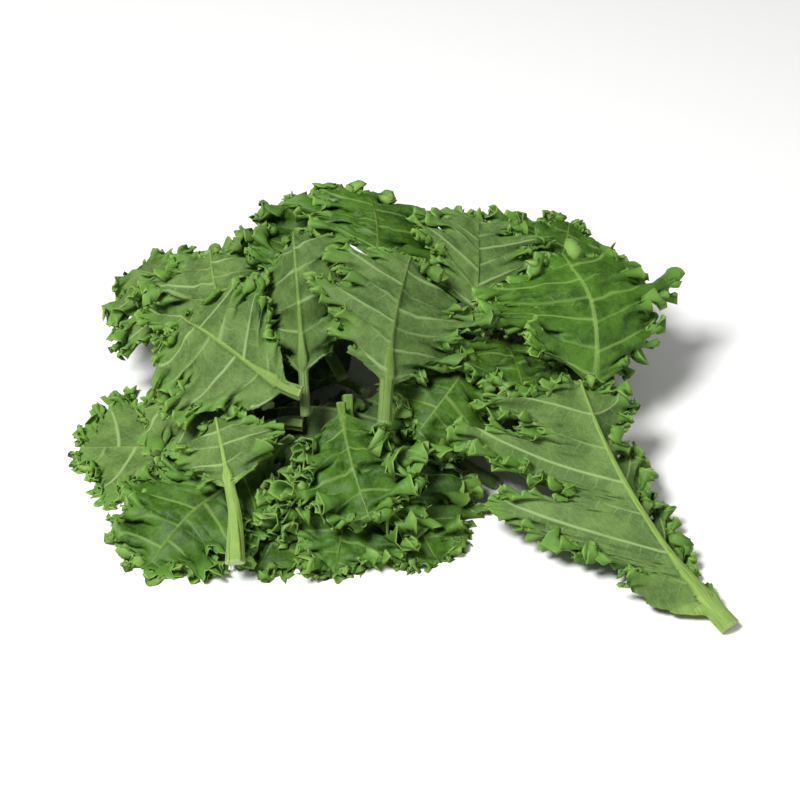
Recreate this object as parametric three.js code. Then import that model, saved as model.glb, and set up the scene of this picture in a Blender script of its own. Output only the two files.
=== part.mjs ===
// A bunch of curly kale, laid down as one loose heap of whole leaves.
// Every leaf grew in one piece, petiole, midrib and blade, so every leaf is one closed solid.
// Millimetres, +Z up, origin under the middle of the bunch on the surface that it lies on.
// -Y is the front, where one large leaf lies with its cut end towards the right.
import * as THREE from "three";

// Driving dimensions
const bladeThickness = 0.8; // kale is about half this, thickened so that it is a sound solid
const tipWidth = 8; // a leaf ends in a blunt tip this wide
const leafGap = 1.3; // least upright gap between a leaf and what lies under it
const steepestLift = 0.5; // how fast a leaf may bend up or down from its own shape, mm per mm
const floorPress = 2.5; // the lowest leaves would reach this far under the surface, so they lie flat on it
const heapEye = new THREE.Vector3(-20, 18, -135); // the heap is a dome of leaves seen from this point
const cell = 1.5; // grid of the heap's outer surface
const reach = 320; // half the side of that grid
const toothDepth = 2.6; // cut edge, every other row of the margin
const shift = new THREE.Vector3(4.0, -14.4, 0); // brings the middle of the finished bunch over the origin

// Colours
const upperGreen = 0x4f8a2c;
const underGreen = 0x86a868;

// Leaves from the lowest to the topmost. under is true where the paler underside faces outwards.
// butt is the cut end of the petiole and tip the end of the midrib. bow lifts the middle of the midrib,
// sway moves it to the left, turn rolls the leaf about it, stalk is the share of it that is bare petiole.
// left, right are the half widths seen from the butt; fold and curl are how steeply each half leaves the
// midrib and how much more it bends on the way to its margin, in degrees. slant is how far the lowest side
// lines lean forwards, less and less up to the tip, and hold how long they keep it. lobes and notch are how
// many lobes a half has and how deep they are cut, wave is the height of its long waves, and sink how far
// the leaf may settle until it rests on others.
const leaves = [
  {
    name: "leaf_heart_across", seed: 31, under: true, sink: 10,
    butt: [60, -20, 6], tip: [-96, 40, 14], bow: 34, sway: 6, turn: 0, stalk: 0.2,
    left: 40, right: 42, fold: [30, 34], curl: [-10, -6],
    slant: 26, lobes: 3, notch: 0.4, wave: 4.5,
  },
  {
    name: "leaf_back_low_left", seed: 1, under: false, sink: 40,
    butt: [-20, 50, 26], tip: [-116, 150, 0], bow: 10, sway: 6, turn: 0, stalk: 0.2,
    left: 56, right: 56, fold: [8, 9], curl: [10, 14],
    slant: 26, lobes: 3.5, notch: 0.4, wave: 4.5,
  },
  {
    name: "leaf_back_low_right", seed: 3, under: false, sink: 40,
    butt: [24, 44, 26], tip: [122, 150, 0], bow: 12, sway: 6, turn: 0, stalk: 0.2,
    left: 56, right: 56, fold: [9, 10], curl: [14, 11],
    slant: 26, lobes: 3.5, notch: 0.4, wave: 4.5,
  },
  {
    name: "leaf_right_low", seed: 4, under: true, sink: 40,
    butt: [26, 34, 26], tip: [128, 56, 0], bow: 10, sway: 4, turn: 0, stalk: 0.25,
    left: 44, right: 44, fold: [8, 9], curl: [10, 12],
    slant: 26, lobes: 3.5, notch: 0.4, wave: 4.5,
  },
  {
    name: "leaf_left_low", seed: 5, under: true, sink: 40,
    butt: [-56, 4, 28], tip: [-190, 14, 0], bow: 10, sway: -4, turn: 0, stalk: 0.2,
    left: 58, right: 66, fold: [5, 6], curl: [10, 10],
    slant: 26, lobes: 3.5, notch: 0.4, wave: 4.5,
  },
  {
    name: "leaf_front_dark", seed: 36, under: false, sink: 20,
    butt: [-56, -14, 40], tip: [-80, -90, 0], bow: 10, sway: 3, turn: 0, stalk: 0.15,
    left: 38, right: 38, fold: [10, 10], curl: [14, 14],
    slant: 26, lobes: 2.5, notch: 0.4, wave: 4.5,
  },
  {
    name: "leaf_front_fan", seed: 7, under: true, sink: 20,
    butt: [-92, -80, 4], tip: [-116, -12, 30], bow: 5, sway: 4, turn: 0, stalk: 0.08,
    left: 38, right: 36, fold: [4, 6], curl: [14, 12],
    slant: 26, lobes: 2.5, notch: 0.3, wave: 4,
  },
  {
    name: "leaf_front_left", seed: 6, under: false, sink: 20,
    butt: [-64, -14, 42], tip: [-142, -86, -2], bow: 10, sway: -2, turn: 0, stalk: 0.15,
    left: 44, right: 46, fold: [7, 7], curl: [10, 14],
    slant: 26, lobes: 3.5, notch: 0.4, wave: 4.5,
  },
  {
    name: "leaf_front_right", seed: 9, under: false, sink: 20,
    butt: [-6, 14, 40], tip: [22, -82, -1], bow: 12, sway: -6, turn: 0, stalk: 0.2,
    left: 40, right: 32, fold: [9, 8], curl: [16, 16],
    slant: 26, lobes: 3, notch: 0.4, wave: 4.5,
  },
  {
    name: "leaf_front_middle", seed: 84, under: false, sink: 20,
    butt: [-30, 12, 44], tip: [-36, -90, -1], bow: 14, sway: 4, turn: 0, stalk: 0.2,
    left: 46, right: 44, fold: [10, 10], curl: [20, 20],
    slant: 26, lobes: 3.5, notch: 0.4, wave: 4.5,
  },
  {
    name: "leaf_rear_left", seed: 62, under: false, sink: 10,
    butt: [-34, 36, 46], tip: [-94, 158, 14], bow: 36, sway: 6, turn: 0, stalk: 0.2,
    left: 58, right: 56, fold: [14, 12], curl: [20, 16],
    slant: 26, lobes: 3.5, notch: 0.4, wave: 4.5,
  },
  {
    name: "leaf_rear_right", seed: 34, under: true, sink: 10,
    butt: [56, 30, 42], tip: [110, 142, 14], bow: 36, sway: -4, turn: 0, stalk: 0.2,
    left: 56, right: 58, fold: [12, 14], curl: [16, 20],
    slant: 26, lobes: 3.5, notch: 0.4, wave: 4.5,
  },
  {
    name: "leaf_rear_middle", seed: 33, under: false, sink: 8,
    butt: [8, 36, 48], tip: [6, 164, 16], bow: 46, sway: -6, turn: 0, stalk: 0.2,
    left: 56, right: 56, fold: [12, 12], curl: [18, 18],
    slant: 26, lobes: 3.5, notch: 0.4, wave: 4.5,
  },
  {
    name: "leaf_front_curly", seed: 23, under: false, sink: 8,
    butt: [-34, -4, 56], tip: [-16, -76, 30], bow: 8, sway: -3, turn: 0, stalk: 0.1,
    left: 40, right: 40, fold: [14, 14], curl: [24, 24],
    slant: 26, lobes: 2.5, notch: 0.4, wave: 5.5,
  },
  {
    name: "leaf_middle_curly", seed: 64, under: false, sink: 4,
    butt: [46, 34, 62], tip: [8, -26, 46], bow: 10, sway: 3, turn: 0, stalk: 0.1,
    left: 40, right: 38, fold: [12, 10], curl: [24, 24],
    slant: 26, lobes: 2.5, notch: 0.4, wave: 5.5,
  },
  {
    name: "leaf_middle_right", seed: 84, under: false, sink: 8,
    butt: [74, -20, 48], tip: [62, 42, 68], bow: 8, sway: 0, turn: 0, stalk: 0.15,
    left: 40, right: 38, fold: [10, 10], curl: [22, 20],
    slant: 26, lobes: 2.5, notch: 0.4, wave: 5.5,
  },
  {
    name: "leaf_left_middle", seed: 60, under: true, sink: 8,
    butt: [-82, 4, 50], tip: [-154, 14, 36], bow: 6, sway: 3, turn: 0, stalk: 0.12,
    left: 34, right: 42, fold: [8, 8], curl: [18, 14],
    slant: 26, lobes: 2.5, notch: 0.4, wave: 4.5,
  },
  {
    name: "leaf_cut_stem", seed: 24, under: true, sink: 6,
    butt: [-86, -94, 10], tip: [-106, -16, 54], bow: 10, sway: -4, turn: 0, stalk: 0.5,
    left: 32, right: 34, fold: [14, 18], curl: [30, 20],
    slant: 26, lobes: 2, notch: 0.3, wave: 4.5,
  },
  {
    name: "leaf_left_fan", seed: 10, under: true, sink: 4,
    butt: [-74, 28, 62], tip: [-166, 128, 50], bow: 10, sway: -4, turn: 0, stalk: 0.12,
    left: 56, right: 54, fold: [6, 6], curl: [12, 16],
    slant: 26, lobes: 3, notch: 0.4, wave: 4.5,
  },
  {
    name: "leaf_back_left", seed: 11, under: true, sink: 8,
    butt: [-76, -8, 56], tip: [-116, 106, 86], bow: 8, sway: 6, turn: 0, stalk: 0.36,
    left: 48, right: 48, fold: [8, 10], curl: [14, 14],
    slant: 26, lobes: 3, notch: 0.4, wave: 4.5,
  },
  {
    name: "leaf_back_right", seed: 61, under: false, sink: 6,
    butt: [70, 50, 54], tip: [106, 142, 78], bow: 8, sway: -4, turn: 0, stalk: 0.15,
    left: 60, right: 56, fold: [6, 8], curl: [10, 16],
    slant: 26, lobes: 3, notch: 0.4, wave: 5.5,
  },
  {
    name: "leaf_back_top", seed: 13, under: false, sink: 14,
    butt: [-62, 56, 62], tip: [-52, 134, 110], bow: -4, sway: 4, turn: 0, stalk: 0.2,
    left: 42, right: 40, fold: [-16, -22], curl: [-16, -8],
    slant: 26, lobes: 2.5, notch: 0.4, wave: 5.5,
  },
  {
    name: "leaf_back_middle", seed: 80, under: false, sink: 6,
    butt: [-16, 40, 50], tip: [-18, 118, 101], bow: 8, sway: -3, turn: 0, stalk: 0.3,
    left: 46, right: 44, fold: [10, 10], curl: [22, 20],
    slant: 26, lobes: 3, notch: 0.4, wave: 5.5,
  },
  {
    name: "leaf_back_right_middle", seed: 15, under: true, sink: 14,
    butt: [44, 36, 50], tip: [45, 116, 86], bow: 6, sway: 3, turn: 0, stalk: 0.28,
    left: 38, right: 40, fold: [6, 6], curl: [14, 14],
    slant: 26, lobes: 3, notch: 0.4, wave: 4.5,
  },
  {
    name: "leaf_right", seed: 61, under: false, sink: 14,
    butt: [102, 4, 32], tip: [84, 88, 60], bow: 8, sway: -2, turn: -8, stalk: 0.1,
    left: 58, right: 50, fold: [4, 8], curl: [10, 18],
    slant: 26, lobes: 3, notch: 0.4, wave: 5.5,
  },
  {
    name: "leaf_upright_folded", seed: 62, under: true, sink: 22,
    butt: [-55, -8, 52], tip: [-59, 72, 98], bow: 5, sway: -3, turn: 0, stalk: 0.2,
    left: 34, right: 34, fold: [26, 34], curl: [20, 20],
    slant: 26, lobes: 2.5, notch: 0.3, wave: 4.5,
  },
  {
    name: "leaf_left_top", seed: 68, under: true, sink: 22,
    butt: [-54, -8, 54], tip: [-124, 44, 72], bow: 6, sway: 6, turn: 0, stalk: 0.12,
    left: 46, right: 46, fold: [6, 6], curl: [14, 10],
    slant: 26, lobes: 2.5, notch: 0.4, wave: 4.5,
  },
  {
    name: "leaf_middle", seed: 61, under: true, sink: 26,
    butt: [-9, -30, 54], tip: [4, 60, 84], bow: 6, sway: 3, turn: 0, stalk: 0.18,
    left: 40, right: 50, fold: [8, 10], curl: [12, 16],
    slant: 26, lobes: 3, notch: 0.4, wave: 4.5,
  },
  {
    name: "leaf_front_large", seed: 266, under: true, sink: 4,
    butt: [179, -135, 4], tip: [104, 6, 62], bow: 2, sway: 10, turn: -34, stalk: 0.07,
    left: 104, right: 44, fold: [4, 64], curl: [10, -52],
    slant: 50, hold: 3, lobes: 3.4, notch: 0.58, wave: 5.5,
  },
];

// A repeatable number from 0 to 1
function share(seed, n) {
  const s = Math.sin(seed * 12.9898 + n * 78.233) * 43758.5453;
  return s - Math.floor(s);
}

const smooth = (a, b, v) => THREE.MathUtils.smoothstep(v, a, b);

// The midrib: a curve from butt to tip through a raised middle, with the leaf's own directions
function midribOf(leaf) {
  const butt = new THREE.Vector3(...leaf.butt);
  const tip = new THREE.Vector3(...leaf.tip);
  const along = tip.clone().sub(butt);
  const length = along.length();
  const middle = butt.clone().lerp(tip, 0.5);
  const outward = middle.clone().sub(heapEye).normalize();
  const ahead = along.clone().normalize();
  const face = outward.clone().addScaledVector(ahead, -outward.dot(ahead)).normalize();
  face.applyAxisAngle(ahead, THREE.MathUtils.degToRad(leaf.turn));
  const aside = new THREE.Vector3().crossVectors(face, ahead); // towards the leaf's left
  middle.addScaledVector(face, 2 * leaf.bow).addScaledVector(aside, 2 * leaf.sway);
  const curve = new THREE.QuadraticBezierCurve3(butt, middle, tip);
  return { curve, face, length };
}

// Share of its greatest width that a leaf has at s: 0 where the blade leaves the petiole, 1 at the tip
const outlineAt = (s) => Math.pow(Math.max(0, Math.sin(Math.PI * Math.pow(s, 0.9))), 0.5);

// How much of that width the notches between the lobes take away
function notchAt(leaf, side, s) {
  const phase = share(leaf.seed, side > 0 ? 1 : 2);
  return leaf.notch * Math.pow(Math.cos(Math.PI * (leaf.lobes * s + phase)), 4);
}

// Radius of the petiole and midrib at t
function ribRadius(leaf, midrib, t) {
  const thick = 2.4 + 0.016 * midrib.length;
  return 0.9 + (thick - 0.9) * Math.pow(1 - t, 0.8);
}

// Height of the long waves at s on one side, as a share of the leaf's wave
function waveAt(leaf, side, s) {
  const turns = leaf.lobes * s + share(leaf.seed, side > 0 ? 3 : 4);
  const second = 1.7 * leaf.lobes * s + share(leaf.seed, side > 0 ? 5 : 6);
  return 0.7 * Math.sin(2 * Math.PI * turns) + 0.18 * Math.sin(2 * Math.PI * second);
}

// A point of the leaf's middle surface. t runs from butt to tip; out is the place across, as a share of
// the half width; across is the same place on the petiole, as a share of its radius; side is +1 or -1.
function leafPoint(leaf, midrib, t, side, across, out, toothed) {
  const s = THREE.MathUtils.clamp((t - leaf.stalk) / (1 - leaf.stalk), 0, 1);
  const spread = smooth(0, 0.07, s);
  const centre = midrib.curve.getPoint(t);
  const ahead = midrib.curve.getTangent(t);
  const face = midrib.face.clone().addScaledVector(ahead, -midrib.face.dot(ahead)).normalize();
  const aside = new THREE.Vector3().crossVectors(face, ahead).multiplyScalar(side);
  const radius = ribRadius(leaf, midrib, t);

  const slant = THREE.MathUtils.degToRad(leaf.slant) * (1 - Math.pow(s, leaf.hold ?? 1)) * spread;
  const whole = (side > 0 ? leaf.left : leaf.right) * outlineAt(s);
  const tooth = toothed * toothDepth * outlineAt(s) * out * out;
  const width = tipWidth / 2 + whole * (1 - notchAt(leaf, side, s)) + tooth;
  const outwards = aside.multiplyScalar(Math.cos(slant)).addScaledVector(ahead, Math.sin(slant));
  const onBlade = Math.min(across * radius, width) + out * (width - Math.min(across * radius, width));
  const distance = THREE.MathUtils.lerp(across * radius, onBlade, spread);

  const k = side > 0 ? 0 : 1;
  const fold = THREE.MathUtils.degToRad(leaf.fold[k]) * spread;
  const curl = THREE.MathUtils.degToRad(leaf.curl[k]) * spread || 1e-6;
  const bend = fold + (curl * distance) / width;
  const sideways = ((Math.sin(bend) - Math.sin(fold)) * width) / curl;
  const down = ((Math.cos(fold) - Math.cos(bend)) * width) / curl;
  const waving = leaf.wave * waveAt(leaf, side, s) * smooth(0, 0.2, s) * (1 - smooth(0.9, 1, s));
  const rise = waving * Math.pow(out, 1.5);
  return centre
    .addScaledVector(outwards, sideways + rise * Math.sin(bend))
    .addScaledVector(face, -down + rise * Math.cos(bend));
}

// Columns across one half of a leaf: place on the petiole, place on the blade, thickness share of the rib
function columnsOf(fine) {
  const blade = fine ? [0.14, 0.42, 0.72, 1] : [0.2, 0.62, 1];
  const columns = [
    { across: 0, out: 0, rib: 1 },
    { across: 0.5, out: 0, rib: 0.8 },
  ];
  blade.forEach((out, i) => {
    const angle = Math.PI / 6 + ((i + 1) * Math.PI) / 3 / blade.length;
    columns.push({ across: Math.sin(angle), out, rib: 0, onPetiole: Math.cos(angle) });
  });
  return columns;
}

// The middle surface of a leaf and its two faces, as grids of points. The faces stand off the middle along
// the mean normal of the triangles round each point.
function leafGrid(leaf) {
  const midrib = midribOf(leaf);
  const large = midrib.length > 105;
  const half = columnsOf(large);
  const leftHalf = half.slice(1).reverse().map((c) => ({ ...c, side: 1 }));
  const columns = [...leftHalf, ...half.map((c) => ({ ...c, side: -1 }))];
  const bladeRows = Math.round(((1 - leaf.stalk) * midrib.length) / (large ? 10 : 8.5));
  const rows = [];
  for (let i = 0; i < 3; i++) rows.push((leaf.stalk * i) / 3);
  for (let i = 0; i <= bladeRows; i++) {
    const s = i / bladeRows;
    rows.push(leaf.stalk + (1 - leaf.stalk) * (s + 0.08 * Math.sin(Math.PI * s) * s));
    if (i === 0) rows.push(leaf.stalk + (1 - leaf.stalk) * 0.04);
  }
  const middle = rows.map((t, i) =>
    columns.map((c) => leafPoint(leaf, midrib, t, c.side, c.across, c.out, i % 2 ? 1 : -1)),
  );
  const normals = middle.map((row) => row.map(() => new THREE.Vector3()));
  for (const corners of trianglesOf(middle)) {
    const [a, b, c] = corners.map(([i, j]) => middle[i][j]);
    const outward = c.clone().sub(a).cross(b.clone().sub(a));
    for (const [i, j] of corners) normals[i][j].add(outward);
  }
  const front = [];
  const back = [];
  rows.forEach((t, i) => {
    const s = THREE.MathUtils.clamp((t - leaf.stalk) / (1 - leaf.stalk), 0, 1);
    const spread = smooth(0, 0.07, s);
    const radius = ribRadius(leaf, midrib, t);
    front.push([]);
    back.push([]);
    columns.forEach((c, j) => {
      const normal = normals[i][j].normalize();
      const petiole = Math.max(c.onPetiole ?? c.rib, 0.12) * radius;
      const blade = bladeThickness / 2 + c.rib * radius * 0.9;
      const thick = THREE.MathUtils.lerp(petiole, blade, spread);
      const thin = THREE.MathUtils.lerp(0.7 * petiole, bladeThickness / 2 + 0.2 * c.rib * radius, spread);
      front[i].push(middle[i][j].clone().addScaledVector(normal, leaf.under ? thick : thin));
      back[i].push(middle[i][j].clone().addScaledVector(normal, leaf.under ? -thin : -thick));
    });
  });
  return { middle, front, back, sink: leaf.sink };
}

// The heap's outer surface, as seen from the eye under it: how far out each direction is taken up
const side = Math.ceil((2 * reach) / cell);
const depth = -heapEye.z;
const outer = new Float32Array(side * side).fill(1 - (floorPress + leafGap) / depth);

function cellOf(point) {
  const scale = (point.z - heapEye.z) / depth;
  const a = heapEye.x + (point.x - heapEye.x) / scale;
  const b = heapEye.y + (point.y - heapEye.y) / scale;
  return [Math.floor((a + reach) / cell), Math.floor((b + reach) / cell), scale];
}

// Calls visit with evenly spread points of a triangle
function sampleTriangle(a, b, c, visit) {
  const longest = Math.max(a.distanceTo(b), b.distanceTo(c), c.distanceTo(a));
  const steps = Math.ceil(longest / 1.1);
  const point = new THREE.Vector3();
  for (let i = 0; i <= steps; i++) {
    for (let j = 0; i + j <= steps; j++) {
      const u = i / steps;
      const v = j / steps;
      point.set(0, 0, 0).addScaledVector(a, u).addScaledVector(b, v).addScaledVector(c, 1 - u - v);
      visit(point);
    }
  }
}

// The two triangles of each grid cell, alike on both faces
function* trianglesOf(grid) {
  for (let i = 0; i + 1 < grid.length; i++) {
    for (let j = 0; j + 1 < grid[0].length; j++) {
      const flip = j < (grid[0].length - 1) / 2;
      const [p, q, r, s] = [[i, j], [i + 1, j], [i + 1, j + 1], [i, j + 1]];
      yield flip ? [p, q, r] : [p, q, s];
      yield flip ? [p, r, s] : [q, r, s];
    }
  }
}

// How much each point of a leaf has to move away from the eye to lie over the heap so far
function liftOf(leaf) {
  const lift = leaf.middle.map((row) => row.map(() => -leaf.sink));
  for (const grid of [leaf.front, leaf.back]) {
    const need = grid.map((row) => row.map(() => 0));
    for (const corners of trianglesOf(grid)) {
      const [a, b, c] = corners.map(([i, j]) => grid[i][j]);
      let most = 0;
      sampleTriangle(a, b, c, (point) => {
        const [x, y] = cellOf(point);
        most = Math.max(most, outer[y * side + x]);
      });
      for (const [i, j] of corners) need[i][j] = Math.max(need[i][j], most);
    }
    grid.forEach((row, i) =>
      row.forEach((point, j) => {
        const scale = (point.z - heapEye.z) / depth;
        const wanted = need[i][j] + leafGap / depth;
        lift[i][j] = Math.max(lift[i][j], (wanted / scale - 1) * point.distanceTo(heapEye));
      }),
    );
  }
  return lift;
}

// Spreads a lift over the leaf, so that it climbs no faster than the steepest lift allows
function ease(leaf, lift) {
  const { middle } = leaf;
  const steps = [[1, 0], [-1, 0], [0, 1], [0, -1], [1, 1], [-1, -1], [1, -1], [-1, 1]];
  for (let pass = 0; pass < 2 * middle.length; pass++) {
    middle.forEach((row, i) =>
      row.forEach((point, j) => {
        for (const [di, dj] of steps) {
          const near = middle[i + di]?.[j + dj];
          if (!near) continue;
          const least = lift[i + di][j + dj] - steepestLift * point.distanceTo(near);
          lift[i][j] = Math.max(lift[i][j], least);
        }
      }),
    );
  }
}

// Moves a leaf out by its lift, and takes up its place in the heap's outer surface
function settle(leaf, lift) {
  leaf.middle.forEach((row, i) =>
    row.forEach((point, j) => {
      const scale = 1 + lift[i][j] / point.distanceTo(heapEye);
      for (const grid of [leaf.middle, leaf.front, leaf.back]) {
        grid[i][j].sub(heapEye).multiplyScalar(scale).add(heapEye);
      }
      leaf.back[i][j].z = Math.max(leaf.back[i][j].z, 0);
      leaf.front[i][j].z = Math.max(leaf.front[i][j].z, bladeThickness);
    }),
  );
  for (const grid of [leaf.front, leaf.back]) {
    for (const corners of trianglesOf(grid)) {
      const [a, b, c] = corners.map(([i, j]) => grid[i][j]);
      sampleTriangle(a, b, c, (point) => {
        const [x, y, scale] = cellOf(point);
        for (let dy = -1; dy <= 1; dy++) {
          for (let dx = -1; dx <= 1; dx++) {
            const at = (y + dy) * side + x + dx;
            outer[at] = Math.max(outer[at], scale);
          }
        }
      });
    }
  }
}

// The closed solid between a leaf's two faces
function leafSolid(leaf) {
  const rows = leaf.front.length;
  const columns = leaf.front[0].length;
  const faceSize = rows * columns;
  const points = [...leaf.front.flat(), ...leaf.back.flat()];
  const positions = points.flatMap((p) => p.clone().add(shift).toArray());
  const at = ([i, j]) => i * columns + j;
  const index = [];
  for (const [a, b, c] of trianglesOf(leaf.front)) {
    index.push(at(a), at(c), at(b));
    index.push(faceSize + at(a), faceSize + at(b), faceSize + at(c));
  }
  const rim = [];
  for (let j = 0; j < columns - 1; j++) rim.push([0, j]);
  for (let i = 0; i < rows - 1; i++) rim.push([i, columns - 1]);
  for (let j = columns - 1; j > 0; j--) rim.push([rows - 1, j]);
  for (let i = rows - 1; i > 0; i--) rim.push([i, 0]);
  rim.forEach((corner, n) => {
    const a = at(corner);
    const b = at(rim[(n + 1) % rim.length]);
    index.push(a, faceSize + b, b, a, faceSize + a, faceSize + b);
  });
  const geometry = new THREE.BufferGeometry();
  geometry.setAttribute("position", new THREE.Float32BufferAttribute(positions, 3));
  geometry.setIndex(index);
  geometry.computeVertexNormals();
  return geometry;
}

const bunch = new THREE.Group();
for (const leaf of leaves) {
  const grid = leafGrid(leaf);
  const lift = liftOf(grid);
  ease(grid, lift);
  settle(grid, lift);
  const color = leaf.under ? underGreen : upperGreen;
  const skin = new THREE.MeshStandardMaterial({ color, roughness: 0.55, metalness: 0 });
  const mesh = new THREE.Mesh(leafSolid(grid), skin);
  mesh.name = leaf.name;
  bunch.add(mesh);
}

export default bunch;
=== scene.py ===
# Dresses a bunch of curly kale. Every leaf of the solid model is worked out again on a much finer grid, in
# the same place, and gets its ruffled and toothed margins, its raised veins and the skins of its two sides.
# Shapes are worked out in millimetres, and the meshes are in metres.
import math
import bpy
import numpy as np
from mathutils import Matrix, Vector


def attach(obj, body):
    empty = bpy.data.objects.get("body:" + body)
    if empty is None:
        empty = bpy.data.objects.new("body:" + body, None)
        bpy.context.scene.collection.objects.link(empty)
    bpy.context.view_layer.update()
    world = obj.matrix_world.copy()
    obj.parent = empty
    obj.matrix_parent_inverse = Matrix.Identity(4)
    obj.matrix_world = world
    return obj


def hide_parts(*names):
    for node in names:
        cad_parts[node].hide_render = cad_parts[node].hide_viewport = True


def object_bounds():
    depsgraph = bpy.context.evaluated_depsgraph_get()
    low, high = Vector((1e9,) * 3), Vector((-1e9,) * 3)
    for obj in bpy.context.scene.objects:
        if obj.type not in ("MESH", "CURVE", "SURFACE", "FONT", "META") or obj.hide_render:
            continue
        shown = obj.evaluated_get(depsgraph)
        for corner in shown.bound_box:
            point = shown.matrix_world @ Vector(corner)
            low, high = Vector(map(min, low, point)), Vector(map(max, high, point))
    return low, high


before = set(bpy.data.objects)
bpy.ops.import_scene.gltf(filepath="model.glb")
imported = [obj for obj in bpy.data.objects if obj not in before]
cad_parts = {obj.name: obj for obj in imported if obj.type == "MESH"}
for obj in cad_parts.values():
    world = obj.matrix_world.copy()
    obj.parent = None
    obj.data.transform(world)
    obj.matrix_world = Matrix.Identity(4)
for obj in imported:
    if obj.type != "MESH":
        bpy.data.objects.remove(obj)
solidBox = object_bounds()
mm = 0.001

# The camera looks down on the heap from the front
camera = dict(target=(4.0, -9.4, 45.0), elevation=40.0, distance=1200.0, lens=94.7)


def placeCamera(view):
    angle = math.radians(view["elevation"])
    target = Vector(view["target"]) * mm
    away = Vector((0, -math.cos(angle), math.sin(angle))) * view["distance"] * mm
    data = bpy.data.cameras.new("camera")
    data.lens = view["lens"]
    data.sensor_width = 36
    data.clip_start = 0.05
    data.clip_end = 20
    thing = bpy.data.objects.new("camera", data)
    thing.location = target + away
    thing.rotation_euler = (-away).to_track_quat("-Z", "Y").to_euler()
    bpy.context.scene.collection.objects.link(thing)
    bpy.context.scene.camera = thing


placeCamera(camera)

# The heap: the values that the solid leaves were stacked with
heap = dict(
    eye=(-20.0, 18.0, -135.0),  # the leaves are stacked as seen from this point under the surface
    gap=1.3,  # least upright gap between a leaf and what lies under it
    steepest=0.5,  # how fast a leaf may bend up or down from its own shape, mm per mm
    floorPress=2.5,  # the lowest leaves would reach this far under the surface
    cell=1.5,  # grid of the heap's outer surface
    sample=1.1,  # spacing of the points by which a triangle is put into that grid
    reach=320.0,  # half the side of that grid
    bladeThickness=0.8,
    tipWidth=8.0,
    toothDepth=2.6,
    shift=(4.0, -14.4, 0.0),  # brings the middle of the bunch over the origin
)

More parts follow.
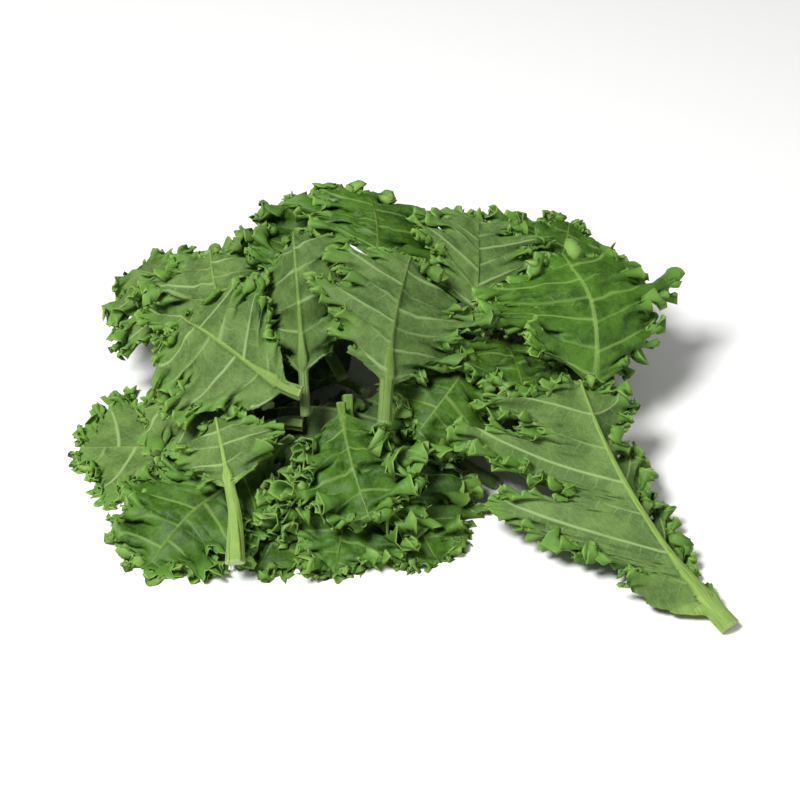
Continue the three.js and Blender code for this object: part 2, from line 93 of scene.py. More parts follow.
# Leaves from the lowest to the topmost. under is True where the paler underside faces outwards. butt is the
# cut end of the petiole and tip the end of the midrib; bow lifts the middle of the midrib, sway moves it to
# the left, turn rolls the leaf and stalk is the share that is bare petiole. left and right are the half
# widths, fold and curl how each half bends, in degrees, slant how far the side lines lean forwards, hold how
# long they keep it, lobes and notch the cuts of the outline, wave the height of the long waves and sink how
# far the leaf may settle. ruffle scales its frills, tone its brightness, pale the paleness of its midrib,
# stem the girth of its petiole, skirt widens its base inside the heap, mm, and coarser scales the spacing of
# its rows. A leaf names only the values in which it differs from the usual ones.
usual = dict(
    turn=0, slant=26, hold=1, lobes=3.5, notch=0.4, wave=4.5,
    ruffle=1.0, tone=1.0, pale=0.5, stem=0.8, skirt=0, coarser=1.0,
)
ownValues = [
    dict(
        name="leaf_heart_across", seed=31, under=True, sink=10,
        butt=(60, -20, 6), tip=(-96, 40, 14), bow=34, sway=6, stalk=0.2,
        left=40, right=42, fold=(30, 34), curl=(-10, -6), lobes=3, tone=0.6, coarser=1.9,
    ),
    dict(
        name="leaf_back_low_left", seed=1, under=False, sink=40,
        butt=(-20, 50, 26), tip=(-116, 150, 0), bow=10, sway=6, stalk=0.2,
        left=56, right=56, fold=(8, 9), curl=(10, 14), skirt=24, coarser=1.9,
    ),
    dict(
        name="leaf_back_low_right", seed=3, under=False, sink=40,
        butt=(24, 44, 26), tip=(122, 150, 0), bow=12, sway=6, stalk=0.2,
        left=56, right=56, fold=(9, 10), curl=(14, 11), skirt=24, coarser=1.9,
    ),
    dict(
        name="leaf_right_low", seed=4, under=True, sink=40,
        butt=(26, 34, 26), tip=(128, 56, 0), bow=10, sway=4, stalk=0.25,
        left=44, right=44, fold=(8, 9), curl=(10, 12), coarser=1.9,
    ),
    dict(
        name="leaf_left_low", seed=5, under=True, sink=40,
        butt=(-56, 4, 28), tip=(-190, 14, 0), bow=10, sway=-4, stalk=0.2,
        left=58, right=66, fold=(5, 6), curl=(10, 10), ruffle=1.1, tone=1.14,
    ),
    dict(
        name="leaf_front_dark", seed=36, under=False, sink=20,
        butt=(-56, -14, 40), tip=(-80, -90, 0), bow=10, sway=3, stalk=0.15,
        left=38, right=38, fold=(10, 10), curl=(14, 14), lobes=2.5, ruffle=1.4, tone=0.85,
    ),
    dict(
        name="leaf_front_fan", seed=7, under=True, sink=20,
        butt=(-92, -80, 4), tip=(-116, -12, 30), bow=5, sway=4, stalk=0.08,
        left=38, right=36, fold=(4, 6), curl=(14, 12), lobes=2.5, notch=0.3, wave=4, ruffle=1.1,
        pale=0.6,
    ),
    dict(
        name="leaf_front_left", seed=6, under=False, sink=20,
        butt=(-64, -14, 42), tip=(-142, -86, -2), bow=10, sway=-2, stalk=0.15,
        left=44, right=46, fold=(7, 7), curl=(10, 14), ruffle=1.2,
    ),
    dict(
        name="leaf_front_right", seed=9, under=False, sink=20,
        butt=(-6, 14, 40), tip=(22, -82, -1), bow=12, sway=-6, stalk=0.2,
        left=40, right=32, fold=(9, 8), curl=(16, 16), lobes=3, ruffle=1.35, tone=0.9,
    ),
    dict(
        name="leaf_front_middle", seed=84, under=False, sink=20,
        butt=(-30, 12, 44), tip=(-36, -90, -1), bow=14, sway=4, stalk=0.2,
        left=46, right=44, fold=(10, 10), curl=(20, 20), ruffle=1.5,
    ),
    dict(
        name="leaf_rear_left", seed=62, under=False, sink=10,
        butt=(-34, 36, 46), tip=(-94, 158, 14), bow=36, sway=6, stalk=0.2,
        left=58, right=56, fold=(14, 12), curl=(20, 16), coarser=1.9,
    ),
    dict(
        name="leaf_rear_right", seed=34, under=True, sink=10,
        butt=(56, 30, 42), tip=(110, 142, 14), bow=36, sway=-4, stalk=0.2,
        left=56, right=58, fold=(12, 14), curl=(16, 20), coarser=1.9,
    ),
    dict(
        name="leaf_rear_middle", seed=33, under=False, sink=8,
        butt=(8, 36, 48), tip=(6, 164, 16), bow=46, sway=-6, stalk=0.2,
        left=56, right=56, fold=(12, 12), curl=(18, 18), coarser=1.9,
    ),
    dict(
        name="leaf_front_curly", seed=23, under=False, sink=8,
        butt=(-34, -4, 56), tip=(-16, -76, 30), bow=8, sway=-3, stalk=0.1,
        left=40, right=40, fold=(14, 14), curl=(24, 24), lobes=2.5, wave=5.5, ruffle=1.5,
    ),
    dict(
        name="leaf_middle_curly", seed=64, under=False, sink=4,
        butt=(46, 34, 62), tip=(8, -26, 46), bow=10, sway=3, stalk=0.1,
        left=40, right=38, fold=(12, 10), curl=(24, 24), lobes=2.5, wave=5.5, ruffle=1.45,
    ),
    dict(
        name="leaf_middle_right", seed=84, under=False, sink=8,
        butt=(74, -20, 48), tip=(62, 42, 68), bow=8, sway=0, stalk=0.15,
        left=40, right=38, fold=(10, 10), curl=(22, 20), lobes=2.5, wave=5.5, ruffle=1.4,
    ),
    dict(
        name="leaf_left_middle", seed=60, under=True, sink=8,
        butt=(-82, 4, 50), tip=(-154, 14, 36), bow=6, sway=3, stalk=0.12,
        left=34, right=42, fold=(8, 8), curl=(18, 14), lobes=2.5,
    ),
    dict(
        name="leaf_cut_stem", seed=24, under=True, sink=6,
        butt=(-86, -94, 10), tip=(-106, -16, 54), bow=10, sway=-4, stalk=0.5,
        left=32, right=34, fold=(14, 18), curl=(30, 20), lobes=2, notch=0.3, ruffle=0.95, pale=1.0,
        stem=1.2,
    ),
    dict(
        name="leaf_left_fan", seed=10, under=True, sink=4,
        butt=(-74, 28, 62), tip=(-166, 128, 50), bow=10, sway=-4, stalk=0.12,
        left=56, right=54, fold=(6, 6), curl=(12, 16), lobes=3, ruffle=1.05,
    ),
    dict(
        name="leaf_back_left", seed=11, under=True, sink=8,
        butt=(-76, -8, 56), tip=(-116, 106, 86), bow=8, sway=6, stalk=0.36,
        left=48, right=48, fold=(8, 10), curl=(14, 14), lobes=3, ruffle=1.1,
    ),
    dict(
        name="leaf_back_right", seed=61, under=False, sink=6,
        butt=(70, 50, 54), tip=(106, 142, 78), bow=8, sway=-4, stalk=0.15,
        left=60, right=56, fold=(6, 8), curl=(10, 16), lobes=3, wave=5.5, ruffle=1.3, tone=1.05,
    ),
    dict(
        name="leaf_back_top", seed=13, under=False, sink=14,
        butt=(-62, 56, 62), tip=(-52, 134, 110), bow=-4, sway=4, stalk=0.2,
        left=42, right=40, fold=(-16, -22), curl=(-16, -8), lobes=2.5, wave=5.5, ruffle=1.25,
        tone=0.85,
    ),
    dict(
        name="leaf_back_middle", seed=80, under=False, sink=6,
        butt=(-16, 40, 50), tip=(-18, 118, 101), bow=8, sway=-3, stalk=0.3,
        left=46, right=44, fold=(10, 10), curl=(22, 20), lobes=3, wave=5.5, ruffle=1.4,
    ),
    dict(
        name="leaf_back_right_middle", seed=15, under=True, sink=14,
        butt=(44, 36, 50), tip=(45, 116, 86), bow=6, sway=3, stalk=0.28,
        left=38, right=40, fold=(6, 6), curl=(14, 14), lobes=3, tone=0.95,
    ),
    dict(
        name="leaf_right", seed=61, under=False, sink=14,
        butt=(102, 4, 32), tip=(84, 88, 60), bow=8, sway=-2, turn=-8, stalk=0.1,
        left=58, right=50, fold=(4, 8), curl=(10, 18), lobes=3, wave=5.5, ruffle=1.3, tone=1.12,
    ),
    dict(
        name="leaf_upright_folded", seed=62, under=True, sink=22,
        butt=(-55, -8, 52), tip=(-59, 72, 98), bow=5, sway=-3, stalk=0.2,
        left=34, right=34, fold=(26, 34), curl=(20, 20), lobes=2.5, notch=0.3, tone=0.88,
    ),
    dict(
        name="leaf_left_top", seed=68, under=True, sink=22,
        butt=(-54, -8, 54), tip=(-124, 44, 72), bow=6, sway=6, stalk=0.12,
        left=46, right=46, fold=(6, 6), curl=(14, 10), lobes=2.5, tone=0.94, pale=0.6, stem=0.9,
    ),
    dict(
        name="leaf_middle", seed=61, under=True, sink=26,
        butt=(-9, -30, 54), tip=(4, 60, 84), bow=6, sway=3, stalk=0.18,
        left=40, right=50, fold=(8, 10), curl=(12, 16), lobes=3, ruffle=1.1, tone=0.84, stem=0.95,
    ),
    dict(
        name="leaf_front_large", seed=266, under=True, sink=4,
        butt=(179, -135, 4), tip=(104, 6, 62), bow=2, sway=10, turn=-34, stalk=0.07,
        left=104, right=44, fold=(4, 64), curl=(10, -52), slant=50, hold=3, lobes=3.4, notch=0.58,
        wave=5.5, ruffle=1.05, pale=1.0, stem=1.15,
    ),
]
leaves = [usual | own for own in ownValues]

eye = np.array(heap["eye"])
depth = -heap["eye"][2]
cells = math.ceil(2 * heap["reach"] / heap["cell"])


def share(seed, n):  # a repeatable number from 0 to 1: the fraction of a large sine
    s = math.sin(seed * 12.9898 + n * 78.233) * 43758.5453
    return s - math.floor(s)


def smooth(a, b, v):  # 0 below a, 1 above b, and an S curve between them
    h = np.clip((v - a) / (b - a), 0, 1)
    return h * h * (3 - 2 * h)


def unit(v):  # the same direction with length 1
    return v / np.maximum(np.linalg.norm(v, axis=-1, keepdims=True), 1e-12)


def wobble(seed, n, x):  # slow noise from about -1 to 1: three sines whose lengths have no common measure
    a, b, c = (2 * math.pi * share(seed, n + k) for k in (0.3, 0.5, 0.7))
    return (np.sin(x + a) + np.sin(1.73 * x + b) + 0.8 * np.sin(2.91 * x + c)) / 2.3


# The midrib is a quadratic curve from butt to tip; face is the way that the leaf's outer side looks
def midribOf(leaf):
    butt = np.array(leaf["butt"], float)
    tip = np.array(leaf["tip"], float)
    along = tip - butt
    length = np.linalg.norm(along)
    middle = (butt + tip) / 2
    outward = unit(middle - eye)
    ahead = along / length
    face = unit(outward - ahead * np.dot(outward, ahead))
    turn = math.radians(leaf["turn"])
    face = face * math.cos(turn) + np.cross(ahead, face) * math.sin(turn)
    aside = np.cross(face, ahead)
    middle = middle + face * 2 * leaf["bow"] + aside * 2 * leaf["sway"]
    return dict(points=(butt, middle, tip), face=face, length=length)


def midribPoint(rib, t):  # weights (1-t)^2, 2t(1-t) and t^2 on the three points
    t = t[:, None]
    a, b, c = rib["points"]
    return a * (1 - t) ** 2 + b * 2 * t * (1 - t) + c * t**2


def ribRadius(leaf, rib, t):  # thickest at the butt, 0.9 mm at the tip
    thick = 2.4 + 0.016 * rib["length"]
    return 0.9 + (thick - 0.9) * (1 - t) ** 0.8


def outlineAt(s):  # share of the greatest width: root of the sine over the blade's length
    return np.maximum(0, np.sin(math.pi * s**0.9)) ** 0.5


def bladeShare(leaf, t):  # 0 where the blade leaves the petiole, 1 at the tip
    return np.clip((t - leaf["stalk"]) / (1 - leaf["stalk"]), 0, 1)


# The leaf's middle surface. t runs from butt to tip, one value for each row. Each column has its side, +1
# left or -1 right, its place across the petiole and out on the blade. The half blade leaves the midrib at
# the fold angle and bends evenly by the curl, so it is part of a circle; the long waves are two sines. extra
# widens the outline at a point, in mm, and girth scales the midrib.
def leafSurface(leaf, rib, t, side, across, out, extra, girth=1.0):
    s = bladeShare(leaf, t)[:, None]
    spread = smooth(0, 0.07, s)
    centre = midribPoint(rib, t)
    ahead = unit(midribPoint(rib, np.minimum(t + 1e-4, 1)) - midribPoint(rib, np.maximum(t - 1e-4, 0)))
    face = unit(rib["face"] - ahead * (ahead @ rib["face"])[:, None])
    aside = np.cross(face, ahead)
    radius = ribRadius(leaf, rib, t)[:, None] * girth
    left = side > 0

    slant = math.radians(leaf["slant"]) * (1 - s ** leaf["hold"]) * spread
    outwards = aside[:, None, :] * (side * np.cos(slant))[..., None]
    outwards = outwards + ahead[:, None, :] * np.sin(slant)[..., None]
    whole = np.where(left, leaf["left"], leaf["right"]) * outlineAt(s)
    phase = np.where(left, share(leaf["seed"], 1), share(leaf["seed"], 2))
    notch = leaf["notch"] * np.cos(math.pi * (leaf["lobes"] * s + phase)) ** 4
    width = heap["tipWidth"] / 2 + whole * (1 - notch) + extra
    onRib = np.minimum(across * radius, width)
    onBlade = onRib + out * (width - onRib)
    distance = across * radius + spread * (onBlade - across * radius)

    fold = np.radians(np.where(left, leaf["fold"][0], leaf["fold"][1])) * spread
    curl = np.radians(np.where(left, leaf["curl"][0], leaf["curl"][1])) * spread
    curl = np.where(np.abs(curl) < 1e-9, 1e-6, curl)
    bend = fold + curl * distance / width
    sideways = (np.sin(bend) - np.sin(fold)) * width / curl
    down = (np.cos(fold) - np.cos(bend)) * width / curl
    first = leaf["lobes"] * s + np.where(left, share(leaf["seed"], 3), share(leaf["seed"], 4))
    second = 1.7 * leaf["lobes"] * s + np.where(left, share(leaf["seed"], 5), share(leaf["seed"], 6))
    waves = 0.7 * np.sin(2 * math.pi * first) + 0.18 * np.sin(2 * math.pi * second)
    rise = leaf["wave"] * waves * smooth(0, 0.2, s) * (1 - smooth(0.9, 1, s)) * out**1.5
    points = (
        centre[:, None, :]
        + outwards * (sideways + rise * np.sin(bend))[..., None]
        + face[:, None, :] * (rise * np.cos(bend) - down)[..., None]
    )
    return points, dict(s=s, spread=spread, radius=radius, width=width, distance=distance, phase=phase)


# The two triangles of each cell of a grid, alike on both faces of a leaf
def gridTriangles(rows, columns):
    i, j = (v.ravel() for v in np.meshgrid(np.arange(rows - 1), np.arange(columns - 1), indexing="ij"))
    p = i * columns + j
    q, r, s = p + columns, p + columns + 1, p + 1
    flip = j < (columns - 1) / 2
    first = np.stack([p, q, np.where(flip, r, s)], 1)
    second = np.stack([np.where(flip, p, q), r, s], 1)
    return np.concatenate([first, second])


def meanNormals(points, triangles):  # sum of the triangles' area normals round each point, made length 1
    a, b, c = (points[triangles[:, k]] for k in range(3))
    outward = np.cross(c - a, b - a)
    total = np.zeros_like(points)
    for k in range(3):
        np.add.at(total, triangles[:, k], outward)
    return unit(total)


def bladeColumns(large):  # how far out on its blade the columns of a solid leaf lie
    return [0.14, 0.42, 0.72, 1.0] if large else [0.2, 0.62, 1.0]


# The solid leaf: its middle and its two faces on the coarse grid
def solidLeaf(leaf):
    rib = midribOf(leaf)
    large = rib["length"] > 105
    shares = bladeColumns(large)
    angle = math.pi / 6 + np.arange(1, len(shares) + 1) * math.pi / 3 / len(shares)
    across = np.concatenate([[0, 0.5], np.sin(angle)])
    out = np.concatenate([[0, 0], shares])
    thick = np.concatenate([[1, 0.8], np.cos(angle)])
    ridge = np.concatenate([[1, 0.8], np.zeros(len(shares))])
    mirrored = [np.concatenate([v[:0:-1], v]) for v in (across, out, thick, ridge)]
    across, out, thick, ridge = mirrored
    side = np.where(np.arange(len(out)) < len(shares) + 1, 1.0, -1.0)

    stalk = leaf["stalk"]
    bladeRows = math.floor((1 - stalk) * rib["length"] / (10 if large else 8.5) + 0.5)
    s = np.arange(bladeRows + 1) / bladeRows
    s = s + 0.08 * np.sin(math.pi * s) * s
    s = np.concatenate([s[:1], [0.04], s[1:]])
    t = np.concatenate([stalk * np.arange(3) / 3, stalk + (1 - stalk) * s])
    tooth = np.where(np.arange(len(t)) % 2, 1.0, -1.0)[:, None] * heap["toothDepth"]
    extra = tooth * outlineAt(bladeShare(leaf, t))[:, None] * out**2
    middle, facts = leafSurface(leaf, rib, t, side, across, out, extra)

    shape = middle.shape[:2]
    triangles = gridTriangles(*shape)
    normals = meanNormals(middle.reshape(-1, 3), triangles).reshape(middle.shape)
    half = heap["bladeThickness"] / 2
    petiole = np.maximum(thick, 0.12) * facts["radius"]
    onBlade = half + ridge * facts["radius"] * 0.9
    thinBlade = half + 0.2 * ridge * facts["radius"]
    heavy = petiole + facts["spread"] * (onBlade - petiole)
    light = 0.7 * petiole + facts["spread"] * (thinBlade - 0.7 * petiole)
    upwards, downwards = (heavy, light) if leaf["under"] else (light, heavy)
    front = middle + normals * upwards[..., None]
    back = middle - normals * downwards[..., None]
    order = np.arange(len(shares) + 2.0)
    place = np.concatenate([-order[:0:-1], order])
    faces = dict(middle=middle, front=front, back=back)
    return dict(rib=rib, t=t, place=place, triangles=triangles, large=large, **faces)


# Evenly spread points of each triangle, as seen from the eye: the cell of the heap's surface that each one
# falls in, and how far out it lies, as its height over the eye in shares of the eye's depth
def seenFromEye(points, triangles):
    a, b, c = (points[triangles[:, k]] for k in range(3))
    longest = np.max([np.linalg.norm(v, axis=1) for v in (a - b, b - c, c - a)], axis=0)
    steps = np.ceil(longest / heap["sample"]).astype(int)
    found = []
    for count in np.unique(steps):
        rows = np.nonzero(steps == count)[0]
        i, j = (v.ravel() for v in np.meshgrid(np.arange(count + 1), np.arange(count + 1), indexing="ij"))
        inside = i + j <= count
        u = (i[inside] / count)[:, None]
        v = (j[inside] / count)[:, None]
        spots = a[rows, None] * u + b[rows, None] * v + c[rows, None] * (1 - u - v)
        found.append((np.repeat(rows, len(u)), *cellOf(spots.reshape(-1, 3))))
    return [np.concatenate(part) for part in zip(*found)]


def cellOf(spots):  # where the line from the eye through each spot meets the surface, and its scale
    scale = (spots[:, 2] - eye[2]) / depth
    x = np.floor((eye[0] + (spots[:, 0] - eye[0]) / scale + heap["reach"]) / heap["cell"]).astype(int)
    y = np.floor((eye[1] + (spots[:, 1] - eye[1]) / scale + heap["reach"]) / heap["cell"]).astype(int)
    return y * cells + x, scale


def roundCells(cell):  # a cell and its eight neighbours
    return np.concatenate([cell + dy * cells + dx for dy in (-1, 0, 1) for dx in (-1, 0, 1)])


# How far each point of a solid leaf moves away from the eye to lie over the leaves so far, eased over the
# leaf so that it climbs no faster than the steepest lift allows
def liftOf(leaf, solid, outer):
    rows, columns = solid["middle"].shape[:2]
    lift = np.full(rows * columns, -float(leaf["sink"]))
    for name in ("front", "back"):
        points = solid[name].reshape(-1, 3)
        triangle, cell, _ = seenFromEye(points, solid["triangles"])
        most = np.zeros(len(solid["triangles"]))
        np.maximum.at(most, triangle, outer[cell])
        need = np.zeros(rows * columns)
        for k in range(3):
            np.maximum.at(need, solid["triangles"][:, k], most)
        scale = (points[:, 2] - eye[2]) / depth
        wanted = need + heap["gap"] / depth
        lift = np.maximum(lift, (wanted / scale - 1) * np.linalg.norm(points - eye, axis=1))
    lift = lift.reshape(rows, columns)
    steps = [(1, 0), (-1, 0), (0, 1), (0, -1), (1, 1), (-1, -1), (1, -1), (-1, 1)]
    middle = solid["middle"]
    for _ in range(2 * (rows + columns)):
        before = lift.copy()
        for di, dj in steps:
            here = (slice(max(0, -di), rows - max(0, di)), slice(max(0, -dj), columns - max(0, dj)))
            there = (slice(max(0, di), rows + min(0, di)), slice(max(0, dj), columns + min(0, dj)))
            apart = np.linalg.norm(middle[here] - middle[there], axis=-1)
            lift[here] = np.maximum(lift[here], lift[there] - heap["steepest"] * apart)
        if np.array_equal(before, lift):
            break
    return lift


# Stacks the solid leaves again, as the solid model did. Each leaf keeps its lift, the heap's surface under
# it and the lowest surface that lies over it.
def stackSolids():
    outer = np.full(cells * cells, 1 - (heap["floorPress"] + heap["gap"]) / depth, np.float32)
    stacked = []
    for leaf in leaves:
        solid = solidLeaf(leaf)
        lift = liftOf(leaf, solid, outer)
        solid["lift"] = lift
        solid["below"] = outer.copy()
        scale = 1 + lift / np.linalg.norm(solid["middle"] - eye, axis=-1)
        for name in ("middle", "front", "back"):
            solid[name] = eye + (solid[name] - eye) * scale[..., None]
        solid["back"][..., 2] = np.maximum(solid["back"][..., 2], 0)
        solid["front"][..., 2] = np.maximum(solid["front"][..., 2], heap["bladeThickness"])
        solid["seen"] = []
        for name in ("front", "back"):
            _, cell, far = seenFromEye(solid[name].reshape(-1, 3), solid["triangles"])
            np.maximum.at(outer, roundCells(cell), np.tile(far, 9).astype(np.float32))
            solid["seen"].append((cell, far))
        stacked.append(solid)
    over = np.full(cells * cells, 9.0, np.float32)
    for solid in reversed(stacked):
        solid["above"] = over.copy()
        for cell, far in solid.pop("seen"):
            np.minimum.at(over, roundCells(cell), np.tile(far, 9).astype(np.float32))
    return stacked


stacked = stackSolids()
worst = 0.0
for leaf, solid in zip(leaves, stacked):
    real = np.array([v.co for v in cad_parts[leaf["name"]].data.vertices]) / mm
    mine = np.concatenate([solid["front"].reshape(-1, 3), solid["back"].reshape(-1, 3)]) + heap["shift"]
    worst = max(worst, np.abs(real.min(0) - mine.min(0)).max(), np.abs(real.max(0) - mine.max(0)).max())
print(f"stacked {len(stacked)} leaves, their boxes within {worst:.3f} mm of the solid ones'")

# Frills of the margin
frills = dict(
    # from the longest to the shortest: length along the margin, height and reach inwards, mm
    waves=((26.0, 5.6, 29.0), (9.0, 4.5, 14.0), (4.1, 2.9, 8.5)),
    overhang=0.44,  # how far each frill leans over, as a share of its height
    lobelets=(14.0, 3.2),  # spacing and depth of the small lobes, mm
    teeth=(4.1, 1.9),  # spacing and depth of the teeth, mm
    clearance=0.7,  # least gap to the leaves below and above, mm
    softness=0.8,  # how gently a frill comes to rest on the leaf below, mm
    filling=0.35,  # highest frill, as a share of the space between the leaves below and above
    ceiling=40.0,  # nothing higher over a leaf than this matters to it, mm
)

# The fine blade
blade = dict(
    spacing=0.37,  # between rows along the margin, mm
    most=840,  # rows
    halfMiddle=0.34,  # half the thickness in the middle of the blade, mm
    halfMargin=0.2,
    veinHeight=0.8,  # how far a side vein stands out of the underside, mm
    veinWidth=0.85,
    veinStrength=(0.6, 1.0),  # of the veins between the lobes, and of those that run into a lobe
    pucker=0.9,  # how far the blade bulges towards its upper side between the veins, mm
    puckerWidth=4.5,  # how far from a vein that bulge is nearly full, mm
    rumple=1.6,  # height of the blade's uneven waves, mm
    evenings=240,  # times that a leaf's lift is smoothed along its rows
    ribShare=0.45,  # width of the midrib on the blade, as a share of the petiole's
    lowest=0.35,  # the middle of the blade stays this far over the surface, mm
    lowSoftness=0.3,  # and how gently it comes to that height
    topSoftness=3.0,  # how gently frills are pressed down under the top of the heap, mm
)


def softFloor(over, soft):  # over itself where it is large, 0 where it is far below 0, rounded in between
    return (over + np.sqrt(over**2 + soft**2)) / 2


def softened(surface, times=1):  # a map of the heap, each time averaged over 3 x 3 cells
    grid = surface.reshape(cells, cells).astype(float)
    for _ in range(times):
        for axis in (0, 1):
            grid = (np.roll(grid, 1, axis) + grid + np.roll(grid, -1, axis)) / 3
    return grid


def readMap(grid, points):  # height of a map at points, read between its cells, and the points' own height
    scale = (points[..., 2] - eye[2]) / depth
    x = (eye[0] + (points[..., 0] - eye[0]) / scale + heap["reach"]) / heap["cell"] - 0.5
    y = (eye[1] + (points[..., 1] - eye[1]) / scale + heap["reach"]) / heap["cell"] - 0.5
    i, j = np.floor(y).astype(int), np.floor(x).astype(int)
    v, u = y - i, x - j
    low = grid[i, j] * (1 - u) + grid[i, j + 1] * u
    high = grid[i + 1, j] * (1 - u) + grid[i + 1, j + 1] * u
    return low * (1 - v) + high * v, scale


def surfaceNormals(points):  # cross product of the steps to the right and ahead, so it looks outwards
    ahead = np.gradient(points, axis=0)
    right = np.gradient(points, axis=1)
    return unit(np.cross(right, ahead)), unit(ahead)


# Rows of the fine leaf, evenly spread along its two margins, and the lengths up to them along the left
# margin, the middle and the right margin
def fineRows(leaf, rib):
    t = np.linspace(0, 1, 900)
    side = np.array([1.0, 1.0, -1.0])
    out = np.array([1.0, 0.0, 1.0])  # on the left margin, the midrib and the right margin
    lines, _ = leafSurface(leaf, rib, t, side, out, out, 0)
    steps = np.linalg.norm(np.diff(lines, axis=0), axis=-1)
    along = np.concatenate([np.zeros((1, 3)), np.cumsum(steps, axis=0)])
    mean = 0.42 * along[:, 0] + 0.16 * along[:, 1] + 0.42 * along[:, 2]
    count = 4 * round(min(mean[-1] / blade["spacing"] / leaf["coarser"], blade["most"]) / 4)
    rows = np.interp(np.linspace(0, mean[-1], count + 1), mean, t)
    lengths = [np.interp(rows, t, along[:, k]) for k in range(3)]
    return rows, lengths


# Places of the columns on one half, and how many rows each column skips: the fine ones carry the frills
def finePlaces(large):
    inner = [0, 0.5, 1, 1.12, 1.3, 1.6, 2]
    if large:
        outer = [2.4, 2.8, 3.2, 3.55, 3.9, 4.1, 4.28, 4.44, 4.58, 4.7, 4.81, 4.91, 5]
        return inner + outer, [4] * 11 + [2] * 4 + [1] * 5
    outer = [2.33, 2.62, 2.9, 3.14, 3.35, 3.52, 3.66, 3.79, 3.9, 4]
    return inner + outer, [4] * 9 + [2] * 3 + [1] * 5


# Frills: a point moves along the normal by height * sin(phase) and back along the margin by overhang *
# height * sin(2 * phase), so that the folds lean over; the height fades with the distance from the margin.
# Where there is little room under the leaf, the frills stand on what lies there instead.
def addFrills(leaf, points, facts, along, edge, room, space):
    for n, (length, height, reach) in enumerate(frills["waves"]):
        normal, ahead = surfaceNormals(points)
        turns = along / length
        phase = 2 * math.pi * (turns + 0.5 * wobble(leaf["seed"], 20 + n, turns / 2.6))
        size = height * leaf["ruffle"] * (0.72 + 0.4 * wobble(leaf["seed"], 30 + n, turns / 1.9))
        size = size * np.clip(1 - edge / reach, 0, 1) ** 1.3 * smooth(0, 0.08, facts["s"])
        size = size * smooth(0, 0.55 * reach, facts["distance"])
        size = np.minimum(size, frills["filling"] * space)
        raised = size * np.clip(1 - room / np.maximum(1.2 * size, 1e-6), 0, 1)
        points = points + normal * (size * np.sin(phase))[..., None]
        points = points + unit(points - eye) * raised[..., None]
        points = points - ahead * (frills["overhang"] * size * np.sin(2 * phase))[..., None]
        room = room + raised
    return points


def leafPlan(leaf, solid):  # everything about the fine grid that doesn't move it
    rib = solid["rib"]
    half, skips = finePlaces(solid["large"])
    half = np.array(half)
    shares = bladeColumns(solid["large"])
    count = len(shares)
    angle = math.pi / 6 + (half - 1) * math.pi / 3 / count
    across = np.where(half < 1, 0.5 * half, np.sin(angle))
    out = np.interp(half, np.arange(count + 2), [0, 0] + shares)
    place = np.concatenate([-half[:0:-1], half])
    across, out = (np.concatenate([v[:0:-1], v]) for v in (across, out))
    side = np.where(place < 0, 1.0, -1.0)
    t, (leftLength, middleLength, rightLength) = fineRows(leaf, rib)
    along = np.where(side > 0, leftLength[:, None], rightLength[:, None])
    skips = skips[:0:-1] + skips
    return dict(rib=rib, place=place, across=across, out=out, side=side, t=t, along=along,
                middleLength=middleLength, skips=skips)


